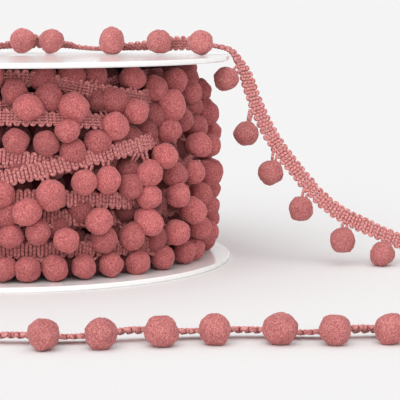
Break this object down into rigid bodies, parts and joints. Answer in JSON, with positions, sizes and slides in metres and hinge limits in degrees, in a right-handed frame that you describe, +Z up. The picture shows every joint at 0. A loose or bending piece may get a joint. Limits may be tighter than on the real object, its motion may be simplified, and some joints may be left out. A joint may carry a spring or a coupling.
{
  "type": "pompom fringe trim on a reel",
  "caption": "Pompom fringe trim wound on a flanged reel, with its loose end laid over the top flange, hanging beside the reel and lying in front of it.",
  "frame": {"origin": "on the reel's axis, at the underside of the bottom flange", "axes": "+Z up along the reel's axis; -Y is the reel's front, the side the loose end lies on; +X is where the loose end hangs down"},
  "size_m": [0.3037, 0.283, 0.0961],
  "materials": {
    "reel_plastic": "smooth white, slightly glossy",
    "braid": "gimp braid of corded yarn, dusty rose",
    "pompoms": "short dense pile, dusty rose"
  },
  "bodies": {
    "root": {"flange_bottom": "reel_plastic", "flange_top": "reel_plastic", "reel_hub": "reel_plastic", "wound_trim": "pompoms", "loose_braid": "braid", "pompom_01": "pompoms", "pompom_02": "pompoms", "pompom_03": "pompoms", "pompom_04": "pompoms", "pompom_05": "pompoms", "pompom_06": "pompoms", "pompom_07": "pompoms", "pompom_08": "pompoms", "pompom_09": "pompoms", "pompom_10": "pompoms", "pompom_11": "pompoms", "pompom_12": "pompoms", "pompom_13": "pompoms", "pompom_14": "pompoms", "pompom_15": "pompoms", "pompom_16": "pompoms", "pompom_17": "pompoms", "pompom_18": "pompoms", "pompom_19": "pompoms", "pompom_20": "pompoms", "pompom_21": "pompoms", "pompom_22": "pompoms", "pompom_23": "pompoms", "pompom_24": "pompoms", "pompom_25": "pompoms", "pompom_26": "pompoms", "pompom_27": "pompoms", "pompom_28": "pompoms", "pompom_29": "pompoms", "pompom_30": "pompoms", "pompom_31": "pompoms", "pompom_32": "pompoms", "pompom_33": "pompoms", "pompom_34": "pompoms", "pompom_35": "pompoms"}
  },
  "joints": []
}
